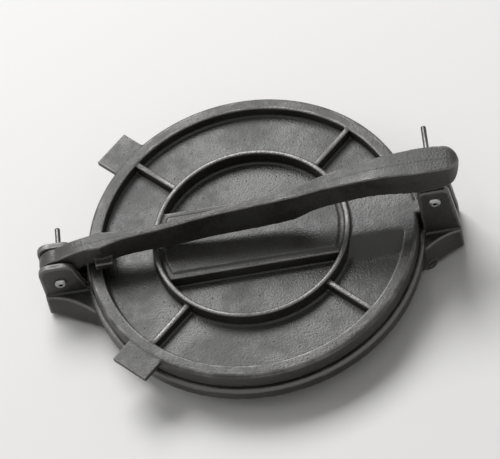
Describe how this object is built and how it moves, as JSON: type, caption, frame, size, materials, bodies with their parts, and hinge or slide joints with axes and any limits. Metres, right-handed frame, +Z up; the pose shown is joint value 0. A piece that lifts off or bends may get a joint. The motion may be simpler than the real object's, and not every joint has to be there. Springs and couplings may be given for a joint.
{
  "type": "tortilla press",
  "caption": "Round cast iron tortilla press with a hinged top plate and a long lever that pivots in a fork and presses the plates together.",
  "frame": {"origin": "on the table, on the plates' common axis, which is the middle of the object's footprint", "axes": "+X along the lever from its pivot fork to the plate hinge and the handle, +Z up"},
  "size_m": [0.329, 0.261, 0.0975],
  "materials": {
    "cast_iron": "black seasoned cast iron, fine sand-cast grain, satin, worn slightly brighter along edges",
    "zinc_steel": "zinc-plated steel, lightly brushed",
    "rubber": "matt moulded rubber"
  },
  "bodies": {
    "base": {"base_plate": "cast_iron", "lever_bolt": "zinc_steel", "lever_bolt_nut": "zinc_steel", "lever_bolt_washer": "zinc_steel", "lever_washer_front": "zinc_steel", "lever_washer_rear": "zinc_steel", "hinge_bolt": "zinc_steel", "hinge_bolt_nut": "zinc_steel", "hinge_bolt_washer": "zinc_steel", "hinge_washer_front": "zinc_steel", "hinge_washer_rear": "zinc_steel", "foot_left_front": "rubber", "foot_left_rear": "rubber", "foot_right_front": "rubber", "foot_right_rear": "rubber", "foot_screw_left_front": "zinc_steel", "foot_screw_left_rear": "zinc_steel", "foot_screw_right_front": "zinc_steel", "foot_screw_right_rear": "zinc_steel"},
    "top_plate": {"top_plate": "cast_iron"},
    "lever": {"lever": "cast_iron"}
  },
  "joints": [
    {"name": "lever_pivot", "type": "hinge", "parent": "base", "child": "lever", "pos_m": [-0.1495, 0, 0.034], "axis": [0, -1, 0], "range_deg": [0, 150]},
    {"name": "plate_hinge", "type": "hinge", "parent": "base", "child": "top_plate", "pos_m": [0.1415, 0, 0.059], "axis": [0, 1, 0], "range_deg": [0, 105]}
  ],
  "couplings": [
    {"joint": "plate_hinge", "follows": "lever_pivot", "ratio": 0.09}
  ]
}
